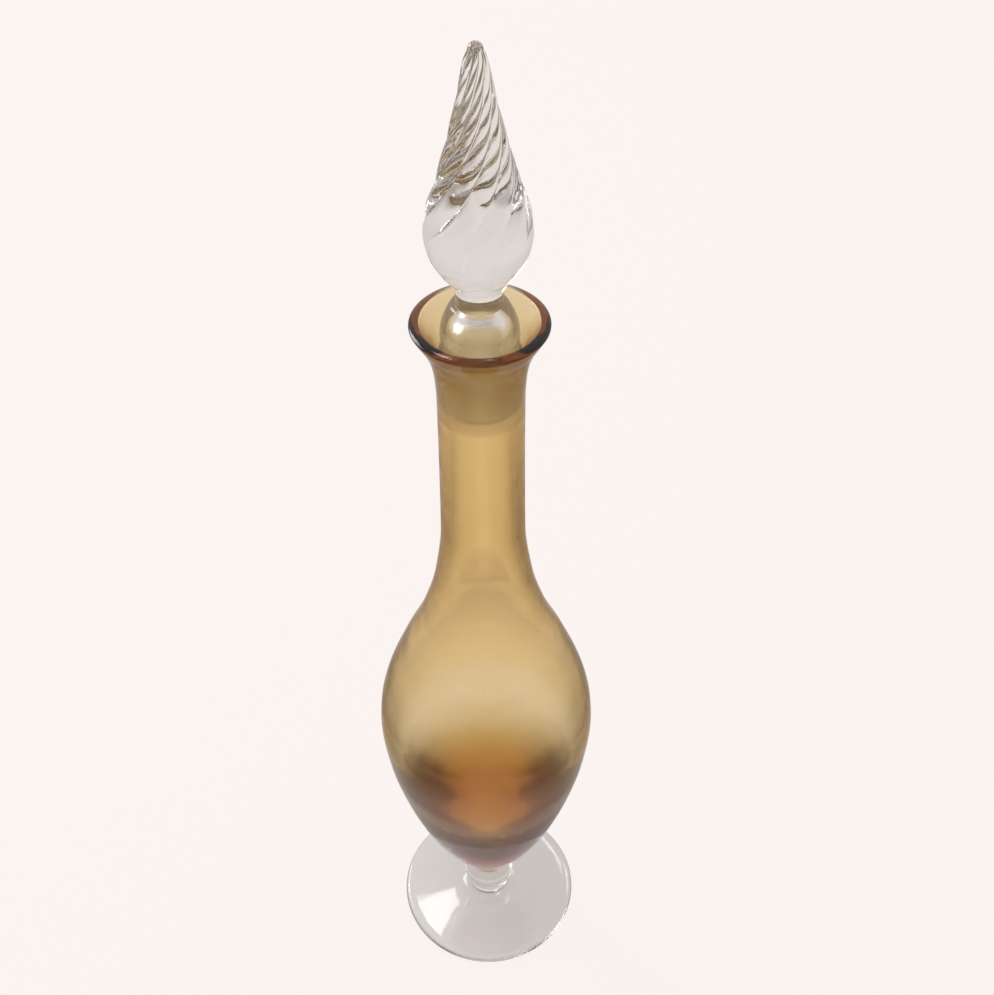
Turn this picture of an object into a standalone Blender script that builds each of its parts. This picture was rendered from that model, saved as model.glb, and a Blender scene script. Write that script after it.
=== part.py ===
"""Stoppered glass carafe: an amber blown body on a clear knop, stem and foot, with a clear twisted stopper.

Metres, +Z up, origin at the centre of the foot's underside. Every gather of glass is its own closed solid.
"""

import math

import bmesh
import bpy
import numpy as np

for old in list(bpy.data.objects):
    bpy.data.objects.remove(old)

# Driving dimensions
MM = 0.001
JOIN_GAP = 0.3 * MM  # left between two gathers of glass, and between the plug and its seat

FOOT_RADIUS = 40 * MM
FOOT_EDGE_THICKNESS = 4.4 * MM
FOOT_HEIGHT = 6.8 * MM  # top of the foot, where the stem stands on it
FOOT_BEARING_RADIUS = 37 * MM  # outside of the flat ring that the carafe rests on
FOOT_BEARING_WIDTH = 6 * MM
FOOT_DISH_DEPTH = 1.2 * MM

STEM_HEIGHT = 7.9 * MM
STEM_RADIUS = 8.7 * MM
STEM_FLARE_RADIUS = 14 * MM
KNOP_HEIGHT = 10.4 * MM
KNOP_RADIUS = 11.3 * MM

POINT_RADIUS = 8 * MM  # lower end of the amber body, on the knop
FLOOR_HEIGHT = 42 * MM  # lowest place of the hollow
BELLY_HEIGHT = 140 * MM
BELLY_RADIUS = 43 * MM
BELLY_WALL = 2.4 * MM
NECK_FOOT_HEIGHT = 250 * MM  # where the bowl has become the neck
NECK_FOOT_RADIUS = 14.9 * MM
NECK_LENGTH = 59 * MM  # up to where the neck starts to flare
NECK_RADIUS = 14.3 * MM
BORE_RADIUS = 11.3 * MM
FLARE_HEIGHT = 29 * MM  # from the neck's top to the lip
LIP_RADIUS = 21.9 * MM
LIP_CREST_RADIUS = 19.1 * MM  # highest circle of the lip, from which its top rolls outwards
LIP_ROLL = 1.1 * MM  # from the crest down to the widest circle
LIP_EDGE_ROUNDING = 0.5 * MM  # inside of the crest
NECK_TOP_HEIGHT = NECK_FOOT_HEIGHT + NECK_LENGTH
LIP_HEIGHT = NECK_TOP_HEIGHT + FLARE_HEIGHT

SEAT_RISE = 10 * MM  # from the neck's top up to where the plug meets the bore
SEAT_HEIGHT = NECK_TOP_HEIGHT + SEAT_RISE
PLUG_DEPTH = 13.5 * MM  # from the seat down to the plug's lower face
PLUG_TIP_RADIUS = 10.6 * MM
PLUG_TIP_ROUNDING = 2.4 * MM
PLUG_RISE = 14 * MM  # from the seat up to the shoulder's edge
PLUG_TOP_RADIUS = 12.5 * MM
PLUG_HOLLOW_RADIUS = 6.6 * MM
PLUG_HOLLOW_DEPTH = 33 * MM  # from the plug's lower face up to the top of its hollow
PLUG_HOLLOW_ROUNDING = 5 * MM
PLUG_MOUTH_ROUNDING = 1 * MM
SHOULDER_RISE = 11.5 * MM  # from the shoulder's edge up to the shank
SHANK_RADIUS = 7.4 * MM
SHANK_LENGTH = 4.2 * MM

FLAME_HEIGHT = 77 * MM  # from the shank's top to the tip
FLAME_RADIUS = 16 * MM
FLAME_TIP_RADIUS = 2.2 * MM
RIB_COUNT = 9
RIB_TWIST_DEGREES = 240
RIB_DEPTH = 2.2 * MM
RIB_START = 20 * MM  # from the shank's top up to where the ribs begin, on the flame's smooth belly
RIB_RUN_IN = 11 * MM  # length over which they deepen above it
RIB_RUN_OUT = 9 * MM  # length over which they fade out at the tip
RIB_FULLNESS = 0.6  # power of the cosine that shapes a rib: the lower, the broader it is between sharp grooves

# Fineness of the solids
TURNED_SIDES = 36
POINTS_PER_RIB = 8
MERGE_DISTANCE = 0.01 * MM

# Outlines, each as (height share, radius share) between two named places, chosen by eye.
# Foot's dish, from the bearing ring in and up to the axis.
DISH_SHARES = ((0.55, 0.35), (0.90, 0.68))
# Stem, from the foot up and in to its straight part.
STEM_SHARES = ((0.10, 0.55), (0.24, 0.80), (0.48, 0.96))
# Knop, from the stem up and out to its widest place, and on from the amber point down and out to it.
LOWER_KNOP_SHARES = ((0.12, 0.55), (0.45, 0.90))
UPPER_KNOP_SHARES = ((0.25, 0.45), (0.55, 0.85))
KNOP_WIDEST_SHARE = 0.42
# Bowl, from its point up and out to the belly, and from the neck's foot down and out to it.
LOWER_BOWL_SHARES = ((0.12, 0.18), (0.28, 0.45), (0.46, 0.67), (0.67, 0.855), (0.83, 0.953))
UPPER_BOWL_SHARES = ((0.22, 0.10), (0.42, 0.31), (0.61, 0.62), (0.80, 0.886), (0.90, 0.97))
# Hollow, from its floor on the axis up and out to the belly.
HOLLOW_SHARES = ((0.003, 0.04), (0.02, 0.08), (0.07, 0.113), (0.133, 0.143), (0.194, 0.177), (0.255, 0.236),
                 (0.306, 0.333), (0.367, 0.505), (0.449, 0.695), (0.551, 0.842), (0.684, 0.941), (0.816, 0.985))
# Mouth, from the neck up and out to the lip: its outside and its inside.
FLARE_SHARES = ((0.28, 0.05), (0.50, 0.17), (0.73, 0.46), (0.88, 0.76))
FUNNEL_SHARES = ((0.34, 0.15), (0.62, 0.41), (0.85, 0.75))
# Plug's shoulder, from its edge up and in to the shank.
SHOULDER_SHARES = ((0.28, 0.06), (0.55, 0.24), (0.78, 0.48), (0.94, 0.72))
# Flame, from the shank up, as shares of its height and of its greatest radius.
FLAME_SHARES = ((0.05, 0.56), (0.11, 0.76), (0.18, 0.93), (0.26, 1.0), (0.34, 0.965), (0.42, 0.86),
                (0.53, 0.685), (0.64, 0.54), (0.75, 0.40), (0.86, 0.285), (0.94, 0.205))

# Colours of the two glasses, and the roughness of a blown and of a ground surface
AMBER = (0.60, 0.36, 0.12)
CLEAR = (0.90, 0.90, 0.88)
BLOWN = 0.02
GROUND = 0.35


def between(low, shares, high):
    """The (radius, height) point low, those that the shares give on the way to high, and high."""
    middle = [(low[0] + r * (high[0] - low[0]), low[1] + h * (high[1] - low[1])) for h, r in shares]
    return [low] + middle + [high]


def oval(centre, half_width, half_height, start_degrees, end_degrees, steps):
    """Points on an ellipse about a centre (radius from the axis, height)."""
    angles = np.radians(np.linspace(start_degrees, end_degrees, steps))
    return [(centre[0] + half_width * math.cos(a), centre[1] + half_height * math.sin(a)) for a in angles]


def arc(centre, radius, start_degrees, end_degrees, steps):
    """Points on an arc about a centre (radius from the axis, height)."""
    return oval(centre, radius, radius, start_degrees, end_degrees, steps)


def smooth_curve(points, steps):
    """Points along a smooth curve through the given (radius, height) points, so many steps on each span.

    Each coordinate is a cubic between neighbours. Its slope at a point is the harmonic mean of the slopes of
    the two chords, or zero where they differ in sign, so the curve never bulges past the points.
    """
    given = np.array(points, dtype=float)
    span = np.linalg.norm(np.diff(given, axis=0), axis=1)
    index = np.repeat(np.arange(len(span)), steps)
    t = np.tile(np.arange(steps) / steps, len(span))
    columns = []
    for value in given.T:
        chord = np.diff(value) / span
        product = chord[1:] * chord[:-1]
        total = np.where(product > 0, chord[1:] + chord[:-1], 1)
        slope = np.concatenate([chord[:1], np.where(product > 0, 2 * product / total, 0), chord[-1:]])
        column = (
            (2 * t**3 - 3 * t**2 + 1) * value[index]
            + (t**3 - 2 * t**2 + t) * span[index] * slope[index]
            + (3 * t**2 - 2 * t**3) * value[index + 1]
            + (t**3 - t**2) * span[index] * slope[index + 1]
        )
        columns.append(np.append(column, value[-1]))
    return list(zip(*columns))


def glass(name, colour, roughness):
    """A see-through Principled glass of one colour."""
    material = bpy.data.materials.new(name)
    material.use_nodes = True
    shader = material.node_tree.nodes["Principled BSDF"]
    shader.inputs["Base Color"].default_value = (*colour, 1)
    shader.inputs["Roughness"].default_value = roughness
    shader.inputs["Metallic"].default_value = 0
    shader.inputs["Transmission Weight"].default_value = 1
    return material


def add(name, mesh, material, owner):
    """Puts a mesh in the scene under a name, with its material and the object that carries it."""
    mesh.materials.append(material)
    piece = bpy.data.objects.new(name, mesh)
    bpy.context.collection.objects.link(piece)
    piece.parent = owner
    return piece


def turned(name, outline, material, owner=None):
    """Turns an outline about the axis. It starts and ends there and runs down the piece's outer side."""
    mesh = bpy.data.meshes.new(name)
    mesh.from_pydata([(r, 0, h) for r, h in outline], [(i, i + 1) for i in range(len(outline) - 1)], [])
    piece = add(name, mesh, material, owner)
    screw = piece.modifiers.new("turn", "SCREW")
    screw.axis = "Z"
    screw.angle = math.tau
    screw.steps = TURNED_SIDES
    screw.render_steps = TURNED_SIDES
    screw.use_merge_vertices = True
    screw.merge_threshold = MERGE_DISTANCE
    screw.use_smooth_shade = True
    return piece


def foot():
    """Disc with a rounded edge, a low cone on top and a shallow dish inside the bearing ring."""
    edge_radius = FOOT_EDGE_THICKNESS / 2
    top = [(0, FOOT_HEIGHT), (STEM_FLARE_RADIUS, FOOT_HEIGHT)]
    edge = arc((FOOT_RADIUS - edge_radius, edge_radius), edge_radius, 80, -60, 7)
    dish_edge = (FOOT_BEARING_RADIUS - FOOT_BEARING_WIDTH, 0)
    under = [(FOOT_BEARING_RADIUS, 0)] + between(dish_edge, DISH_SHARES, (0, FOOT_DISH_DEPTH))
    return turned("base_foot", top + edge + under, glass("foot_glass", CLEAR, BLOWN))


def stem():
    """Short column that flares down onto the foot."""
    bottom = FOOT_HEIGHT + JOIN_GAP
    top = bottom + STEM_HEIGHT
    side = between((STEM_FLARE_RADIUS, bottom), STEM_SHARES, (STEM_RADIUS, top))
    return turned("base_stem", [(0, top)] + side[::-1] + [(0, bottom)], glass("stem_glass", CLEAR, BLOWN))


def knop_levels():
    """Heights of the knop's lower and upper faces."""
    bottom = FOOT_HEIGHT + STEM_HEIGHT + 2 * JOIN_GAP
    return bottom, bottom + KNOP_HEIGHT


def knop():
    """Rounded button of glass between the stem and the amber point."""
    bottom, top = knop_levels()
    widest = (KNOP_RADIUS, bottom + KNOP_WIDEST_SHARE * KNOP_HEIGHT)
    upper = between((POINT_RADIUS, top), UPPER_KNOP_SHARES, widest)
    lower = between((STEM_RADIUS, bottom), LOWER_KNOP_SHARES, widest)
    side = smooth_curve(upper + lower[:-1][::-1], 2)
    return turned("base_knop", [(0, top)] + side + [(0, bottom)], glass("knop_glass", CLEAR, BLOWN))


def body():
    """Amber body: hollow bowl and neck with a flared mouth, and a solid pointed base under the hollow."""
    point = (POINT_RADIUS, knop_levels()[1] + JOIN_GAP)
    belly = (BELLY_RADIUS, BELLY_HEIGHT)
    neck_foot = (NECK_FOOT_RADIUS, NECK_FOOT_HEIGHT)
    neck_top = (NECK_RADIUS, NECK_TOP_HEIGHT)
    rim = arc((LIP_CREST_RADIUS, LIP_HEIGHT - LIP_EDGE_ROUNDING), LIP_EDGE_ROUNDING, 165, 90, 4)[:-1]
    rim += oval((LIP_CREST_RADIUS, LIP_HEIGHT - LIP_ROLL), LIP_RADIUS - LIP_CREST_RADIUS, LIP_ROLL, 90, -12, 7)

    outside = between(point, LOWER_BOWL_SHARES, belly)
    outside += between(neck_foot, UPPER_BOWL_SHARES, belly)[:-1][::-1]
    outside += between(neck_top, FLARE_SHARES, rim[-1])

    floor = (0, FLOOR_HEIGHT)
    inner_belly = (BELLY_RADIUS - BELLY_WALL, BELLY_HEIGHT)
    bore_foot = (NECK_FOOT_RADIUS - (NECK_RADIUS - BORE_RADIUS), NECK_FOOT_HEIGHT)
    inside = between(floor, HOLLOW_SHARES, inner_belly)
    inside += between(bore_foot, UPPER_BOWL_SHARES, inner_belly)[:-1][::-1]
    inside += [(BORE_RADIUS, NECK_TOP_HEIGHT)]
    inside += between((BORE_RADIUS, SEAT_HEIGHT), FUNNEL_SHARES, rim[0])

    outline = smooth_curve(inside, 1) + rim[1:-1] + smooth_curve(outside, 2)[::-1] + [(0, point[1])]
    return turned("bottle_body", outline, glass("amber_glass", AMBER, BLOWN))


def plug(stopper):
    """Plug: ground side that tapers through the seat, a domed shoulder, and a hollow that opens downwards."""
    tip = SEAT_HEIGHT - PLUG_DEPTH
    edge = (PLUG_TOP_RADIUS, SEAT_HEIGHT + PLUG_RISE)
    top = edge[1] + SHOULDER_RISE
    shoulder = smooth_curve(between(edge, SHOULDER_SHARES, (SHANK_RADIUS, top))[::-1], 1)
    seat = (BORE_RADIUS - JOIN_GAP, SEAT_HEIGHT)
    tip_centre = (PLUG_TIP_RADIUS - PLUG_TIP_ROUNDING, tip + PLUG_TIP_ROUNDING)
    rounding = arc(tip_centre, PLUG_TIP_ROUNDING, 0, -90, 5)
    mouth_centre = (PLUG_HOLLOW_RADIUS + PLUG_MOUTH_ROUNDING, tip + PLUG_MOUTH_ROUNDING)
    mouth = arc(mouth_centre, PLUG_MOUTH_ROUNDING, -90, -180, 3)
    dome_centre = (PLUG_HOLLOW_RADIUS - PLUG_HOLLOW_ROUNDING, tip + PLUG_HOLLOW_DEPTH - PLUG_HOLLOW_ROUNDING)
    dome = arc(dome_centre, PLUG_HOLLOW_ROUNDING, 0, 90, 5)
    outline = [(0, top)] + shoulder + [seat] + rounding + mouth + dome + [(0, tip + PLUG_HOLLOW_DEPTH)]
    return turned("stopper_plug", outline, glass("plug_glass", CLEAR, GROUND), stopper)


def finial(stopper):
    """Flame on a short shank. Its radius swells and tapers with height, and twisted ribs stand on its upper part.

    Round the flame the ribs follow a power of the cosine, and they turn in proportion to the height above the
    shank. The grooves come in smoothly above the belly and lessen with the square root of the radius.
    """
    shank_bottom = SEAT_HEIGHT + PLUG_RISE + SHOULDER_RISE + JOIN_GAP
    flame_bottom = shank_bottom + SHANK_LENGTH
    tip = flame_bottom + FLAME_HEIGHT
    side = [(FLAME_RADIUS * r, flame_bottom + FLAME_HEIGHT * h) for h, r in FLAME_SHARES]
    cap = arc((0, tip - FLAME_TIP_RADIUS), FLAME_TIP_RADIUS, 0, 90, 4)
    rings = [(SHANK_RADIUS, shank_bottom)]
    rings += smooth_curve([(SHANK_RADIUS, flame_bottom)] + side + cap[:1], 2) + cap[1:-1]
    sides = RIB_COUNT * POINTS_PER_RIB
    angles = np.linspace(0, math.tau, sides, endpoint=False)
    share = 1 - np.abs(np.cos(RIB_COUNT * angles / 2)) ** RIB_FULLNESS

    shape = bmesh.new()
    loops = []
    for radius, height in rings:
        above, below = height - flame_bottom, tip - height
        rise = np.clip((above - RIB_START) / RIB_RUN_IN, 0, 1)
        fade = rise**2 * (3 - 2 * rise) * np.clip(below / RIB_RUN_OUT, 0, 1)
        turned_angles = angles + math.radians(RIB_TWIST_DEGREES) * max(above, 0) / FLAME_HEIGHT
        depth = RIB_DEPTH * fade * math.sqrt(radius / FLAME_RADIUS)
        distance = radius - depth * share
        ring = np.stack([distance * np.cos(turned_angles), distance * np.sin(turned_angles)], axis=1)
        loops.append([shape.verts.new((x, y, height)) for x, y in ring])
    for low, high in zip(loops, loops[1:]):
        for i in range(sides):
            j = (i + 1) % sides
            shape.faces.new((low[i], low[j], high[j], high[i]))
    shape.faces.new(loops[0][::-1])
    peak = shape.verts.new((0, 0, tip))
    for i in range(sides):
        shape.faces.new((loops[-1][i], loops[-1][(i + 1) % sides], peak))
    mesh = bpy.data.meshes.new("stopper_finial")
    shape.to_mesh(mesh)
    shape.free()
    mesh.shade_smooth()
    return add("stopper_finial", mesh, glass("finial_glass", CLEAR, BLOWN), stopper)


def build():
    """Builds the bottle, and the stopper under an empty on its lifting axis."""
    body()
    knop()
    stem()
    foot()
    stopper = bpy.data.objects.new("stopper_axis", None)
    bpy.context.collection.objects.link(stopper)
    plug(stopper)
    finial(stopper)


build()
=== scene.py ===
"""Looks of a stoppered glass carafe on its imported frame: amber body, clear base, twisted clear stopper.

Metres, +Z up. Every piece of glass is a surface of two parameters: the place along an outline, given as
(radius, height) points, and the angle round the carafe's axis.
"""

import math

import bpy
import numpy as np
from mathutils import Matrix, Vector


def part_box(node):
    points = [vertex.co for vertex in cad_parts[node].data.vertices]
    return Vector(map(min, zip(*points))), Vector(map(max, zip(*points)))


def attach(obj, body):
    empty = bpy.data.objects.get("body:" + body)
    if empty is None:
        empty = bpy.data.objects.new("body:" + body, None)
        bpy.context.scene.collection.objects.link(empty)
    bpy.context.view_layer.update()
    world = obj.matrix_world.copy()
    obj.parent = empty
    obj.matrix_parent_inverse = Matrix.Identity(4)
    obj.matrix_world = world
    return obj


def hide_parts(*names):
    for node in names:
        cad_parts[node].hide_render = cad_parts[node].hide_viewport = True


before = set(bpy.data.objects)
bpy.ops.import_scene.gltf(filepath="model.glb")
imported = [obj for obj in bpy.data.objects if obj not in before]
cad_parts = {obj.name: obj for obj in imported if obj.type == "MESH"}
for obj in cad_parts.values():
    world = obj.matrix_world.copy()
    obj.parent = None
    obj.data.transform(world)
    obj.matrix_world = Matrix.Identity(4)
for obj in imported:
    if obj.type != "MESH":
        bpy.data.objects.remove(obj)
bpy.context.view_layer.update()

# Sizes
MM = 0.001
PER_MM = 1000

FOOT_RADIUS = 40 * MM
FOOT_EDGE_THICKNESS = 4.4 * MM
FOOT_BEARING_RADIUS = 37 * MM
FOOT_BEARING_WIDTH = 6 * MM
FOOT_DISH_DEPTH = 1.2 * MM
STEM_RADIUS = 8.7 * MM
STEM_FLARE_RADIUS = 14 * MM
KNOP_RADIUS = 11.3 * MM

POINT_RADIUS = 8 * MM
HOLLOW_FLOOR_HEIGHT = 42 * MM
BELLY_HEIGHT = 140 * MM
BELLY_RADIUS = 43 * MM
BELLY_WALL = 2.4 * MM
NECK_FOOT_HEIGHT = 250 * MM
NECK_FOOT_RADIUS = 14.9 * MM
NECK_TOP_HEIGHT = 309 * MM
NECK_RADIUS = 14.3 * MM
BORE_RADIUS = 11.3 * MM
LIP_RADIUS = 21.9 * MM
LIP_CREST_RADIUS = 19.1 * MM
LIP_ROLL = 1.1 * MM
LIP_EDGE_ROUNDING = 0.5 * MM

SEAT_HEIGHT = 319 * MM
SEAT_CLEARANCE = 0.3 * MM
GROUND_RISE = 8 * MM
PLUG_TIP_RADIUS = 10.6 * MM
PLUG_TIP_ROUNDING = 2.4 * MM
PLUG_RISE = 14 * MM
PLUG_TOP_RADIUS = 12.5 * MM
PLUG_HOLLOW_RADIUS = 6.6 * MM
PLUG_HOLLOW_DEPTH = 33 * MM
PLUG_HOLLOW_ROUNDING = 5 * MM
PLUG_MOUTH_ROUNDING = 1 * MM
SHANK_RADIUS = 7.4 * MM
SHANK_LENGTH = 4.2 * MM
FLAME_RADIUS = 16 * MM
FLAME_TIP_RADIUS = 2.2 * MM
RIB_COUNT = 9
RIB_TWIST = math.radians(240)
RIB_DEPTH = 2.2 * MM
RIB_START = 20 * MM
RIB_RUN_IN = 11 * MM
RIB_RUN_OUT = 9 * MM
RIB_FULLNESS = 0.6

# Outlines, as (height share, radius share) between two named places
DISH_SHARES = ((0.55, 0.35), (0.90, 0.68))
STEM_SHARES = ((0.10, 0.55), (0.24, 0.80), (0.48, 0.96))
LOWER_KNOP_SHARES = ((0.12, 0.55), (0.45, 0.90))
UPPER_KNOP_SHARES = ((0.25, 0.45), (0.55, 0.85))
KNOP_WIDEST_SHARE = 0.42
LOWER_BOWL_SHARES = ((0.12, 0.18), (0.28, 0.45), (0.46, 0.67), (0.67, 0.855), (0.83, 0.953))
UPPER_BOWL_SHARES = ((0.22, 0.10), (0.42, 0.31), (0.61, 0.62), (0.80, 0.886), (0.90, 0.97))
HOLLOW_SHARES = ((0.003, 0.04), (0.02, 0.08), (0.07, 0.113), (0.133, 0.143), (0.194, 0.177),
                 (0.255, 0.236), (0.306, 0.333), (0.367, 0.505), (0.449, 0.695), (0.551, 0.842),
                 (0.684, 0.941), (0.816, 0.985))
FLARE_SHARES = ((0.28, 0.05), (0.50, 0.17), (0.73, 0.46), (0.88, 0.76))
FUNNEL_SHARES = ((0.34, 0.15), (0.62, 0.41), (0.85, 0.75))
SHOULDER_SHARES = ((0.28, 0.06), (0.55, 0.24), (0.78, 0.48), (0.94, 0.72))
FLAME_SHARES = ((0.05, 0.56), (0.11, 0.76), (0.18, 0.93), (0.26, 1.0), (0.34, 0.965), (0.42, 0.86),
                (0.53, 0.685), (0.64, 0.54), (0.75, 0.40), (0.86, 0.285), (0.94, 0.205))

# Fineness
SHARP_ANGLE = math.radians(50)
ROUND_SIDES = 144
STEPS_PER_SPAN = 10
FLAME_STEPS_PER_SPAN = 18
POINTS_PER_RIB = 24
LARGE_EDGE_STEPS = 24
PLUG_ROUNDING_STEPS = 16
FLAME_TIP_STEPS = 14
LIP_ROUNDING_STEPS = 10
PLUG_MOUTH_STEPS = 8

# Where the roundings of an outline start and end, in degrees from the outward direction
LIP_ROLL_START, LIP_TOP, LIP_ROUNDING_END = -12, 90, 165
FOOT_EDGE_START, FOOT_EDGE_END = -60, 80
FLAME_TIP_END = 88

# Glass
GLASS_IOR = 1.5
STOPPER_ROUGHNESS = 0.05
AMBER_ROUGHNESS = 0.06
BASE_ROUGHNESS = 0.07
WELL_ROUGHNESS = 0.40
WELL_ROUGH_TOP = 130 * MM
WELL_ROUGH_FADE = 45 * MM
GROUND_ROUGHNESS = 0.5
SEAT_ROUGHNESS = 0.8
PLUG_HOLLOW_MATT_SHARE = 0.6
SHOULDER_MATT_SHARE = 0.12
FUNNEL_MATT_SHARE = 0.45
RIPPLE_WIDTH = 14 * MM
RIPPLE_DEPTH = 0.12 * MM
RIPPLE_DETAIL = 1.0
HAZE_WIDTH = 5 * MM
HAZE_START = 0.45
HAZE_FULL = 0.75
HAZE_ROUGHNESS = 0.05
FINE_DETAIL = 2.0
GRIT_WIDTH = 0.5 * MM
GRIT_DEPTH = 0.03 * MM
PALEST_TINT = (1.0, 1.0, 0.99)
DEEPEST_TINT = (0.97, 0.965, 0.94)

# Absorbed by a metre of glass, in red, green and blue
AMBER_ABSORPTION = np.array([0.028, 0.080, 0.215]) * PER_MM
CLEAR_ABSORPTION = np.array([0.0040, 0.0046, 0.0050]) * PER_MM
DENSITY_MARGIN = 1.02  # keeps the absorption colour above zero in every channel

# Light
PHOTO_WHITE = (0.973, 0.913, 0.885)
FLOOR_HALF_WIDTH = 3000 * MM
FLOOR_DROP = 0.1 * MM
FLOOR_COLOUR = (0.90, 0.86, 0.83)
FLOOR_ROUGHNESS = 0.9
FLOOR_SPECULAR = 0.1
PHOTO_WHITE_SHARE = 0.95
WHITE_IN_GLASS = 0.90
WHITE_IN_MIRROR = 0.55
FOOT_SHADE = 0.70
FOOT_SHADE_ASIDE = 25 * MM
FOOT_SHADE_START = 10 * MM
FOOT_SHADE_REACH = 120 * MM
SIDE_SHADE = 0.4
SIDE_SHADE_START = 30 * MM
SIDE_SHADE_REACH = 160 * MM
SIDE_SHADE_FADE = 220 * MM
SIDE_SHADE_END = 460 * MM

# The room's colours, front and back each with its place on the way from front (0) to back (1)
ROOM_FRONT = (0.35, (0.10, 0.095, 0.09, 1))
ROOM_BACK = (0.62, (0.93, 0.88, 0.86, 1))
ROOM_CEILING = (0.75, 0.75, 0.75, 1)
CEILING_START = 0.35
CEILING_FULL = 0.95
ROOM_STRENGTH = 0.9

# Lamps, as place, point that they face, width and length, all in metres, and watts
WINDOW = ((-1.3, 0.9, 1.1), (0, 0, 0.2), (0.7, 1.0), 16)
SKYLIGHT = ((-0.27, 0.56, 1.45), (0, 0, 0.1), (0.13, 0.32), 1.2)

# Light bounces, enough for glass behind glass
ALL_BOUNCES = 32
GLASS_BOUNCES = 28
MIRROR_BOUNCES = 12
TRANSPARENT_BOUNCES = 24

# Camera, solved from the photograph's outline
IMAGE_PIXELS = 995
FOCAL_PIXELS = 1285
SENSOR_MM = 36
CAMERA_HEIGHT = 571.2 * MM
CAMERA_DISTANCE = 318.8 * MM
CAMERA_PITCH = math.radians(44.05)
CAMERA_YAW = math.radians(0.89)
CAMERA_ROLL = math.radians(0.33)
CAMERA_NEAREST = 10 * MM


def between(low, shares, high):
    """The (radius, height) point low, those that the shares give on the way to high, and high."""
    middle = [(low[0] + r * (high[0] - low[0]), low[1] + h * (high[1] - low[1])) for h, r in shares]
    return [low] + middle + [high]


def oval(centre, half_width, half_height, start_degrees, end_degrees, steps):
    """Points on an ellipse about a centre (radius from the axis, height)."""
    angles = np.radians(np.linspace(start_degrees, end_degrees, steps))
    return list(zip(centre[0] + half_width * np.cos(angles), centre[1] + half_height * np.sin(angles)))


def arc(centre, radius, start_degrees, end_degrees, steps):
    """Points on an arc about a centre (radius from the axis, height)."""
    return oval(centre, radius, radius, start_degrees, end_degrees, steps)


def eased(share):
    """Share from 0 to 1 with a soft start and end: s squared times (3 - 2 s), and s is held in that range."""
    held = np.clip(share, 0, 1)
    return held**2 * (3 - 2 * held)


def smooth_curve(points, steps=STEPS_PER_SPAN):
    """Points along a smooth curve through the given (radius, height) points, so many steps on each span.

    Each coordinate is a cubic between neighbours. Its slope at a point is the harmonic mean of the slopes of
    the two chords, or zero where they differ in sign, so the curve never bulges past the points.
    """
    given = np.array(points, dtype=float)
    span = np.linalg.norm(np.diff(given, axis=0), axis=1)
    index = np.repeat(np.arange(len(span)), steps)
    t = np.tile(np.arange(steps) / steps, len(span))
    columns = []
    for value in given.T:
        chord = np.diff(value) / span
        product = chord[1:] * chord[:-1]
        total = np.where(product > 0, chord[1:] + chord[:-1], 1)
        slope = np.concatenate([chord[:1], np.where(product > 0, 2 * product / total, 0), chord[-1:]])
        column = (
            (2 * t**3 - 3 * t**2 + 1) * value[index]
            + (t**3 - 2 * t**2 + t) * span[index] * slope[index]
            + (3 * t**2 - 2 * t**3) * value[index + 1]
            + (t**3 - t**2) * span[index] * slope[index + 1]
        )
        columns.append(np.append(column, value[-1]))
    return list(zip(*columns))


def closed_surface(name, radius, height, start, end, material, ground=None, turn=0):
    """Mesh of rings round the axis: x = r cos a, y = r sin a, z = height. A fan closes it at either end.

    radius and height are arrays of rings by angles, from the lower end of the outside on. start and end are
    the heights of the two points on the axis. ground says for each ring how matt it is ground, from 0 to 1,
    and turn by what angle the ring is turned.
    """
    rings, sides = radius.shape
    angle = np.linspace(0, math.tau, sides, endpoint=False) + turn
    grid = np.stack([radius * np.cos(angle), radius * np.sin(angle), height], axis=-1).reshape(-1, 3)
    points = np.vstack([grid, [[0, 0, start], [0, 0, end]]])
    i, j = np.meshgrid(np.arange(rings - 1), np.arange(sides), indexing="ij")
    k = (j + 1) % sides
    quads = np.stack([i * sides + j, i * sides + k, (i + 1) * sides + k, (i + 1) * sides + j], axis=-1)
    around = np.arange(sides)
    onward = (around + 1) % sides
    last = (rings - 1) * sides
    start_fan = np.stack([np.full(sides, rings * sides), onward, around], axis=-1)
    end_fan = np.stack([np.full(sides, rings * sides + 1), last + around, last + onward], axis=-1)
    mesh = bpy.data.meshes.new(name)
    mesh.from_pydata(points, [], quads.reshape(-1, 4).tolist() + start_fan.tolist() + end_fan.tolist())
    mesh.shade_smooth()
    mesh.set_sharp_from_angle(angle=SHARP_ANGLE)
    mesh.materials.append(material)
    if ground is not None:
        mark = mesh.attributes.new("ground", "FLOAT", "POINT")
        mark.data.foreach_set("value", np.append(np.repeat(ground, sides), [0, 0]).astype(np.float32))
    piece = bpy.data.objects.new(name, mesh)
    bpy.context.collection.objects.link(piece)
    return piece


def turned(name, outline, material, ground=None, sides=ROUND_SIDES):
    """Surface of revolution of the outline, which runs from the axis up the outside and back to the axis."""
    points = np.array(outline)
    radius = np.repeat(points[1:-1, :1], sides, axis=1)
    height = np.repeat(points[1:-1, 1:], sides, axis=1)
    return closed_surface(name, radius, height, points[0, 1], points[-1, 1], material, ground)


def maths(tree, operation, first, second):
    """Math node of two inputs, each a socket or a number."""
    node = tree.nodes.new("ShaderNodeMath")
    node.operation = operation
    for socket, value in zip(node.inputs, (first, second)):
        if isinstance(value, (int, float)):
            socket.default_value = value
        else:
            tree.links.new(value, socket)
    return node.outputs[0]


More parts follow.
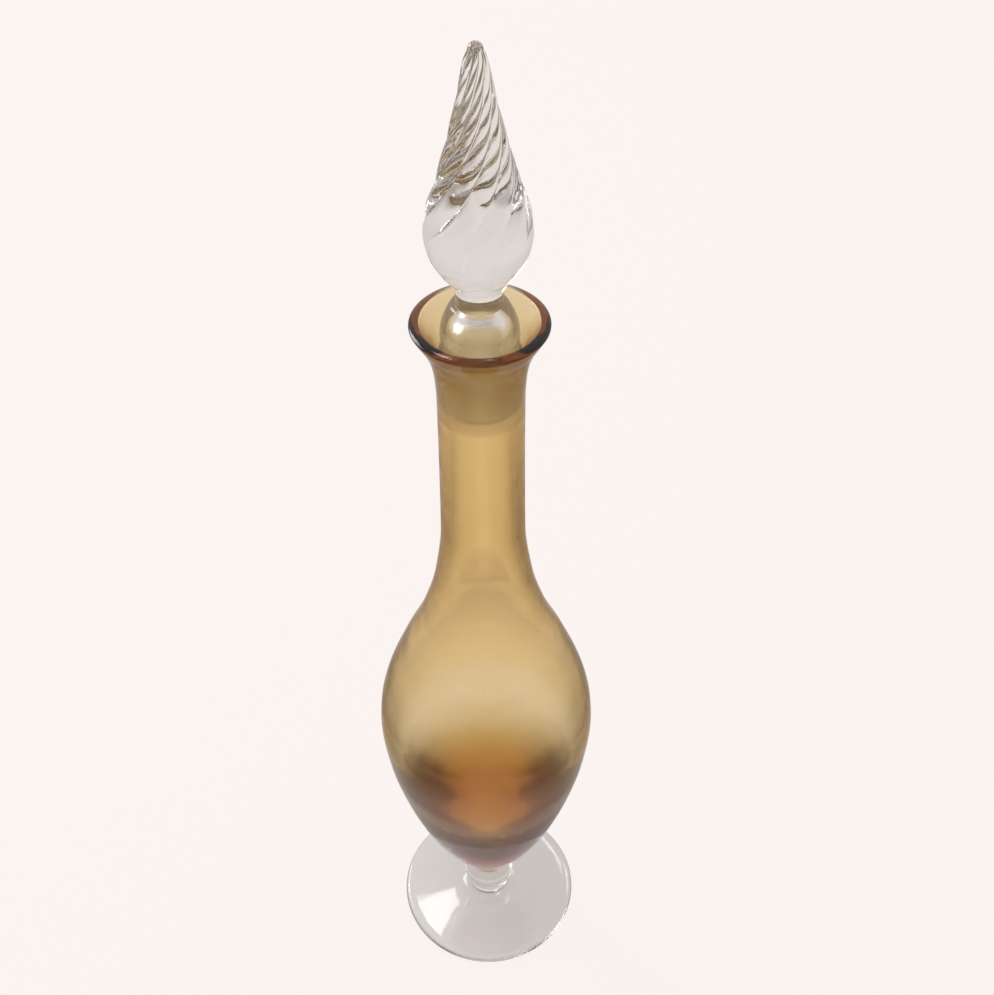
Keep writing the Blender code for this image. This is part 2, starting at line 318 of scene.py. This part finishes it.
def smooth_ramp(tree, value, start, end, first, last):
    """Number that goes smoothly from first to last while the value goes from start to end."""
    ramp = tree.nodes.new("ShaderNodeMapRange")
    ramp.interpolation_type = "SMOOTHSTEP"
    for name, number in (("From Min", start), ("From Max", end), ("To Min", first), ("To Max", last)):
        ramp.inputs[name].default_value = number
    tree.links.new(value, ramp.inputs["Value"])
    return ramp.outputs["Result"]


def noise(tree, width, detail=FINE_DETAIL):
    """Cloudy pattern in the piece's own space, from 0 to 1, whose blots are about so wide."""
    place = tree.nodes.new("ShaderNodeTexCoord").outputs["Object"]
    pattern = tree.nodes.new("ShaderNodeTexNoise")
    pattern.inputs["Scale"].default_value = 1 / width
    pattern.inputs["Detail"].default_value = detail
    tree.links.new(place, pattern.inputs["Vector"])
    return pattern.outputs["Fac"]


def glass(name, absorption, roughness, ground_roughness):
    """Blown glass that darkens with thickness: it absorbs light by so much a metre in red, green and blue.

    Its surface has shallow ripples and a faint haze. Where the ground attribute is 1 it is matt and gritty.
    """
    material = bpy.data.materials.new(name)
    material.use_nodes = True
    tree = material.node_tree
    shader = tree.nodes["Principled BSDF"]
    shader.inputs["IOR"].default_value = GLASS_IOR
    shader.inputs["Transmission Weight"].default_value = 1

    mark = tree.nodes.new("ShaderNodeAttribute")
    mark.attribute_name = "ground"
    ground = mark.outputs["Fac"]
    matt = tree.nodes.new("ShaderNodeMapRange")
    matt.inputs["To Min"].default_value = roughness
    matt.inputs["To Max"].default_value = ground_roughness
    tree.links.new(ground, matt.inputs["Value"])
    haze = smooth_ramp(tree, noise(tree, HAZE_WIDTH), HAZE_START, HAZE_FULL, 0, HAZE_ROUGHNESS)
    tree.links.new(maths(tree, "ADD", matt.outputs["Result"], haze), shader.inputs["Roughness"])

    ripples = maths(tree, "MULTIPLY", noise(tree, RIPPLE_WIDTH, RIPPLE_DETAIL), RIPPLE_DEPTH)
    grit = maths(tree, "MULTIPLY", maths(tree, "MULTIPLY", noise(tree, GRIT_WIDTH), ground), GRIT_DEPTH)
    bump = tree.nodes.new("ShaderNodeBump")
    bump.inputs["Distance"].default_value = 1
    tree.links.new(maths(tree, "ADD", ripples, grit), bump.inputs["Height"])
    tree.links.new(bump.outputs["Normal"], shader.inputs["Normal"])

    tint = tree.nodes.new("ShaderNodeMix")
    tint.data_type = "RGBA"
    tree.links.new(noise(tree, RIPPLE_WIDTH), tint.inputs["Factor"])
    tint.inputs["A"].default_value = (*PALEST_TINT, 1)
    tint.inputs["B"].default_value = (*DEEPEST_TINT, 1)
    tree.links.new(tint.outputs["Result"], shader.inputs["Base Color"])

    volume = tree.nodes.new("ShaderNodeVolumeAbsorption")
    density = float(absorption.max()) * DENSITY_MARGIN
    volume.inputs["Density"].default_value = density
    volume.inputs["Color"].default_value = (*(1 - absorption / density), 1)
    tree.links.new(volume.outputs["Volume"], tree.nodes["Material Output"].inputs["Volume"])
    return material


def amber_body():
    """Hollow amber body, pointed below and flared at the mouth: outside up, round the lip, inside down."""
    low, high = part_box("bottle_body")
    roll = oval((LIP_CREST_RADIUS, high.z - LIP_ROLL), LIP_RADIUS - LIP_CREST_RADIUS, LIP_ROLL,
                LIP_ROLL_START, LIP_TOP, LARGE_EDGE_STEPS)
    rounding = arc((LIP_CREST_RADIUS, high.z - LIP_EDGE_ROUNDING), LIP_EDGE_ROUNDING,
                   LIP_TOP, LIP_ROUNDING_END, LIP_ROUNDING_STEPS)
    rim = roll[:-1] + rounding
    belly = (BELLY_RADIUS, BELLY_HEIGHT)
    outside = between((POINT_RADIUS, low.z), LOWER_BOWL_SHARES, belly)
    outside += between((NECK_FOOT_RADIUS, NECK_FOOT_HEIGHT), UPPER_BOWL_SHARES, belly)[:-1][::-1]
    outside += between((NECK_RADIUS, NECK_TOP_HEIGHT), FLARE_SHARES, rim[0])
    inner_belly = (BELLY_RADIUS - BELLY_WALL, BELLY_HEIGHT)
    bore_foot = (NECK_FOOT_RADIUS - (NECK_RADIUS - BORE_RADIUS), NECK_FOOT_HEIGHT)
    inside = between((0, HOLLOW_FLOOR_HEIGHT), HOLLOW_SHARES, inner_belly)
    inside += between(bore_foot, UPPER_BOWL_SHARES, inner_belly)[:-1][::-1]
    ground_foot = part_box("stopper_plug")[0].z
    inside += [(BORE_RADIUS, ground_foot), (BORE_RADIUS, NECK_TOP_HEIGHT)]
    inside += between((BORE_RADIUS, SEAT_HEIGHT), FUNNEL_SHARES, rim[-1])
    outer = smooth_curve(outside)[:-1] + rim
    outline = [(0, low.z)] + outer + smooth_curve(inside)[::-1][1:]
    height = np.array(outline)[1:-1, 1]
    inner = np.arange(len(height)) >= len(outer)
    seat = (height >= ground_foot) & (height <= SEAT_HEIGHT + GROUND_RISE)
    funnel = FUNNEL_MATT_SHARE * (height > SEAT_HEIGHT)
    well = eased((WELL_ROUGH_TOP - height) / WELL_ROUGH_FADE) * WELL_ROUGHNESS / SEAT_ROUGHNESS
    ground = inner * np.maximum(np.maximum(seat, funnel), well)
    material = glass("amber_glass", AMBER_ABSORPTION, AMBER_ROUGHNESS, SEAT_ROUGHNESS)
    piece = turned("amber_body", outline, material, ground)
    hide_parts("bottle_body")
    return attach(piece, "bottle")


def clear_base():
    """Clear foot, stem and knop, fused into one: dish and bearing ring, rounded edge, flared stem, knop."""
    foot_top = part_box("base_foot")[1].z
    stem_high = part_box("base_stem")[1].z
    knop_low, knop_high = (corner.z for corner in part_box("base_knop"))
    edge_radius = FOOT_EDGE_THICKNESS / 2
    dish_edge = (FOOT_BEARING_RADIUS - FOOT_BEARING_WIDTH, 0)
    dish = smooth_curve(between(dish_edge, DISH_SHARES, (0, FOOT_DISH_DEPTH)))[::-1]
    edge = arc((FOOT_RADIUS - edge_radius, edge_radius), edge_radius,
               FOOT_EDGE_START, FOOT_EDGE_END, LARGE_EDGE_STEPS)
    flare = between((STEM_FLARE_RADIUS, foot_top), STEM_SHARES, (STEM_RADIUS, stem_high))
    widest = (KNOP_RADIUS, knop_low + KNOP_WIDEST_SHARE * (knop_high - knop_low))
    lower = between((STEM_RADIUS, knop_low), LOWER_KNOP_SHARES, widest)
    upper = between((POINT_RADIUS, knop_high), UPPER_KNOP_SHARES, widest)[:-1][::-1]
    side = smooth_curve([edge[-1]] + flare) + smooth_curve(lower + upper)
    outline = dish + [(FOOT_BEARING_RADIUS, 0)] + edge[:-1] + side + [(0, knop_high)]
    material = glass("clear_glass", CLEAR_ABSORPTION, BASE_ROUGHNESS, BASE_ROUGHNESS)
    piece = turned("clear_base", outline, material)
    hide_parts("base_knop", "base_stem", "base_foot")
    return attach(piece, "bottle")


def stopper():
    """Clear stopper in one piece: plug, hollow from below, then domed shoulder, shank and twisted flame.

    A point of the flame lies at radius R(h) - d(h) (1 - |cos(n a / 2)|^p) and at the angle a + t h. That
    makes n broad ribs between sharp grooves, which turn by t a metre of height h. The grooves' depth d
    comes in above the flame's smooth belly and goes out at its tip.
    """
    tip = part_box("stopper_plug")[0].z
    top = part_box("stopper_finial")[1].z
    shank_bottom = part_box("stopper_finial")[0].z
    flame_bottom = shank_bottom + SHANK_LENGTH
    flame_height = top - flame_bottom
    plug_edge = (PLUG_TOP_RADIUS, SEAT_HEIGHT + PLUG_RISE)
    dome_centre = (PLUG_HOLLOW_RADIUS - PLUG_HOLLOW_ROUNDING, tip + PLUG_HOLLOW_DEPTH - PLUG_HOLLOW_ROUNDING)
    dome = arc(dome_centre, PLUG_HOLLOW_ROUNDING, 90, 0, PLUG_ROUNDING_STEPS)
    mouth = [(PLUG_HOLLOW_RADIUS, tip + PLUG_TIP_ROUNDING)]
    mouth += arc((PLUG_HOLLOW_RADIUS + PLUG_MOUTH_ROUNDING, tip + PLUG_MOUTH_ROUNDING),
                 PLUG_MOUTH_ROUNDING, 180, 270, PLUG_MOUTH_STEPS)
    rounding = arc((PLUG_TIP_RADIUS - PLUG_TIP_ROUNDING, tip + PLUG_TIP_ROUNDING),
                   PLUG_TIP_ROUNDING, -90, 0, PLUG_ROUNDING_STEPS)
    seat = (BORE_RADIUS - SEAT_CLEARANCE, SEAT_HEIGHT)
    shoulder = smooth_curve(between(plug_edge, SHOULDER_SHARES, (SHANK_RADIUS, shank_bottom)))
    side = [(FLAME_RADIUS * r, flame_bottom + flame_height * h) for h, r in FLAME_SHARES]
    cap = arc((0, top - FLAME_TIP_RADIUS), FLAME_TIP_RADIUS, 0, FLAME_TIP_END, FLAME_TIP_STEPS)
    shank = [(SHANK_RADIUS, shank_bottom), (SHANK_RADIUS, flame_bottom)]
    flame = smooth_curve(shank + side + cap[:1], FLAME_STEPS_PER_SPAN)
    inner = dome + mouth
    side_ring = rounding + [seat, plug_edge]
    outline = np.array(inner + side_ring + shoulder[1:] + flame[1:] + cap[1:])

    sides = RIB_COUNT * POINTS_PER_RIB
    angle = np.linspace(0, math.tau, sides, endpoint=False)
    plain, level = outline[:, :1], outline[:, 1:]
    rise = eased((level - flame_bottom - RIB_START) / RIB_RUN_IN)
    fade = rise * np.clip((top - level) / RIB_RUN_OUT, 0, 1)
    turn = RIB_TWIST * np.maximum(level - flame_bottom, 0) / flame_height
    depth = RIB_DEPTH * fade * np.sqrt(plain / FLAME_RADIUS)
    radius = plain - depth * (1 - np.abs(np.cos(RIB_COUNT * angle / 2)) ** RIB_FULLNESS)
    height = np.repeat(level, sides, axis=1)
    shoulder_start = len(inner) + len(side_ring)
    ground = np.zeros(len(outline))
    ground[: len(inner)] = PLUG_HOLLOW_MATT_SHARE
    ground[len(inner) : shoulder_start] = 1
    ground[shoulder_start : shoulder_start + len(shoulder)] = SHOULDER_MATT_SHARE
    material = glass("stopper_glass", CLEAR_ABSORPTION, STOPPER_ROUGHNESS, GROUND_ROUGHNESS)
    piece = closed_surface("twisted_stopper", radius, height, dome[0][1], top, material, ground, turn)
    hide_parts("stopper_finial", "stopper_plug")
    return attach(piece, "stopper")


def floor_shade(tree):
    """Factor that is lower close to the foot, and left and right of the carafe out to SIDE_SHADE_END."""
    place = tree.nodes.new("ShaderNodeTexCoord").outputs["Object"]
    from_foot = tree.nodes.new("ShaderNodeVectorMath")
    from_foot.operation = "DISTANCE"
    tree.links.new(place, from_foot.inputs[0])
    from_foot.inputs[1].default_value = (FOOT_SHADE_ASIDE, 0, 0)
    distance = from_foot.outputs["Value"]
    parts = tree.nodes.new("ShaderNodeSeparateXYZ")
    tree.links.new(place, parts.inputs[0])
    aside = maths(tree, "ABSOLUTE", parts.outputs["X"], 0)
    near_foot = smooth_ramp(tree, distance, FOOT_SHADE_START, FOOT_SHADE_REACH, FOOT_SHADE, 1)
    sideways = smooth_ramp(tree, aside, SIDE_SHADE_START, SIDE_SHADE_REACH, 0, 1 - SIDE_SHADE)
    fading = smooth_ramp(tree, distance, SIDE_SHADE_FADE, SIDE_SHADE_END, 1, 0)
    at_sides = maths(tree, "SUBTRACT", 1, maths(tree, "MULTIPLY", sideways, fading))
    return maths(tree, "MULTIPLY", near_foot, at_sides)


def pale_floor():
    """Wide pale floor. Camera, glass and mirror rays see mostly the photograph's white, the rest is matt.

    Through glass and in mirror images the white is a little darker, and darkest close to the foot.
    """
    material = bpy.data.materials.new("pale_floor")
    material.use_nodes = True
    tree = material.node_tree
    matt = tree.nodes["Principled BSDF"]
    matt.inputs["Base Color"].default_value = (*FLOOR_COLOUR, 1)
    matt.inputs["Roughness"].default_value = FLOOR_ROUGHNESS
    matt.inputs["Specular IOR Level"].default_value = FLOOR_SPECULAR
    rays = tree.nodes.new("ShaderNodeLightPath").outputs
    camera_ray = rays["Is Camera Ray"]
    glass_ray = rays["Is Transmission Ray"]
    mirror_ray = rays["Is Glossy Ray"]
    indirect = maths(tree, "MAXIMUM", maths(tree, "MULTIPLY", glass_ray, WHITE_IN_GLASS),
                     maths(tree, "MULTIPLY", mirror_ray, WHITE_IN_MIRROR))
    strength = maths(tree, "MAXIMUM", camera_ray, maths(tree, "MULTIPLY", indirect, floor_shade(tree)))
    white = tree.nodes.new("ShaderNodeEmission")
    white.inputs["Color"].default_value = (*PHOTO_WHITE, 1)
    tree.links.new(strength, white.inputs["Strength"])
    seen = maths(tree, "MAXIMUM", camera_ray, maths(tree, "MAXIMUM", glass_ray, mirror_ray))
    mix = tree.nodes.new("ShaderNodeMixShader")
    tree.links.new(maths(tree, "MULTIPLY", seen, PHOTO_WHITE_SHARE), mix.inputs[0])
    tree.links.new(matt.outputs[0], mix.inputs[1])
    tree.links.new(white.outputs[0], mix.inputs[2])
    tree.links.new(mix.outputs[0], tree.nodes["Material Output"].inputs["Surface"])
    mesh = bpy.data.meshes.new("floor")
    signs = ((-1, -1), (1, -1), (1, 1), (-1, 1))
    corners = [(x * FLOOR_HALF_WIDTH, y * FLOOR_HALF_WIDTH, -FLOOR_DROP) for x, y in signs]
    mesh.from_pydata(corners, [], [(0, 1, 2, 3)])
    mesh.materials.append(material)
    floor = bpy.data.objects.new("floor", mesh)
    bpy.context.collection.objects.link(floor)


def room():
    """World: a room that is pale behind the carafe and overhead, and dim on the camera's side.

    The camera itself sees the photograph's white in its place.
    """
    world = bpy.data.worlds.new("room")
    bpy.context.scene.world = world
    world.use_nodes = True
    tree = world.node_tree
    direction = tree.nodes.new("ShaderNodeTexCoord")
    parts = tree.nodes.new("ShaderNodeSeparateXYZ")
    tree.links.new(direction.outputs["Generated"], parts.inputs[0])
    behind = tree.nodes.new("ShaderNodeValToRGB")
    backward = maths(tree, "MULTIPLY", maths(tree, "ADD", parts.outputs["Y"], 1), 0.5)
    tree.links.new(backward, behind.inputs[0])
    stops = behind.color_ramp.elements
    stops[0].position, stops[0].color = ROOM_FRONT
    stops[1].position, stops[1].color = ROOM_BACK
    overhead = tree.nodes.new("ShaderNodeMix")
    overhead.data_type = "RGBA"
    upward = smooth_ramp(tree, parts.outputs["Z"], CEILING_START, CEILING_FULL, 0, 1)
    tree.links.new(upward, overhead.inputs["Factor"])
    tree.links.new(behind.outputs["Color"], overhead.inputs["A"])
    overhead.inputs["B"].default_value = ROOM_CEILING
    background = tree.nodes["Background"]
    tree.links.new(overhead.outputs["Result"], background.inputs["Color"])
    background.inputs["Strength"].default_value = ROOM_STRENGTH
    plain = tree.nodes.new("ShaderNodeBackground")
    plain.inputs["Color"].default_value = (*PHOTO_WHITE, 1)
    rays = tree.nodes.new("ShaderNodeLightPath").outputs
    mix = tree.nodes.new("ShaderNodeMixShader")
    tree.links.new(rays["Is Camera Ray"], mix.inputs[0])
    tree.links.new(background.outputs[0], mix.inputs[1])
    tree.links.new(plain.outputs[0], mix.inputs[2])
    tree.links.new(mix.outputs[0], tree.nodes["World Output"].inputs["Surface"])


def soft_lamp(name, place, aim, size, watts):
    """Rectangular lamp at a place, facing a point."""
    lamp = bpy.data.lights.new(name, "AREA")
    lamp.shape = "RECTANGLE"
    lamp.size, lamp.size_y = size
    lamp.energy = watts
    piece = bpy.data.objects.new(name, lamp)
    piece.location = place
    piece.rotation_euler = (Vector(aim) - Vector(place)).to_track_quat("-Z", "Y").to_euler()
    bpy.context.collection.objects.link(piece)


def camera():
    """The photograph's camera: in front of and above the carafe, looking down, with a little yaw and roll."""
    forward = np.array([
        math.sin(CAMERA_YAW) * math.cos(CAMERA_PITCH),
        math.cos(CAMERA_YAW) * math.cos(CAMERA_PITCH),
        -math.sin(CAMERA_PITCH),
    ])
    right = np.array([math.cos(CAMERA_YAW), -math.sin(CAMERA_YAW), 0])
    down = np.cross(forward, right)
    turned_right = math.cos(CAMERA_ROLL) * right + math.sin(CAMERA_ROLL) * down
    turned_down = math.cos(CAMERA_ROLL) * down - math.sin(CAMERA_ROLL) * right
    matrix = Matrix.Identity(4)
    place = [0, -CAMERA_DISTANCE, CAMERA_HEIGHT]
    for column, axis in enumerate([turned_right, -turned_down, -forward, place]):
        for row in range(3):
            matrix[row][column] = axis[row]
    lens = bpy.data.cameras.new("photo_camera")
    lens.sensor_width = SENSOR_MM
    lens.lens = FOCAL_PIXELS / IMAGE_PIXELS * SENSOR_MM
    lens.clip_start = CAMERA_NEAREST
    piece = bpy.data.objects.new("photo_camera", lens)
    piece.matrix_world = matrix
    bpy.context.collection.objects.link(piece)
    bpy.context.scene.camera = piece


def render_values():
    """Plain view, and enough light bounces for glass behind glass."""
    scene = bpy.context.scene
    scene.view_settings.view_transform = "Standard"
    scene.cycles.max_bounces = ALL_BOUNCES
    scene.cycles.transmission_bounces = GLASS_BOUNCES
    scene.cycles.glossy_bounces = MIRROR_BOUNCES
    scene.cycles.transparent_max_bounces = TRANSPARENT_BOUNCES


camera()
amber_body()
clear_base()
stopper()
pale_floor()
room()
soft_lamp("window", *WINDOW)
soft_lamp("skylight", *SKYLIGHT)
render_values()
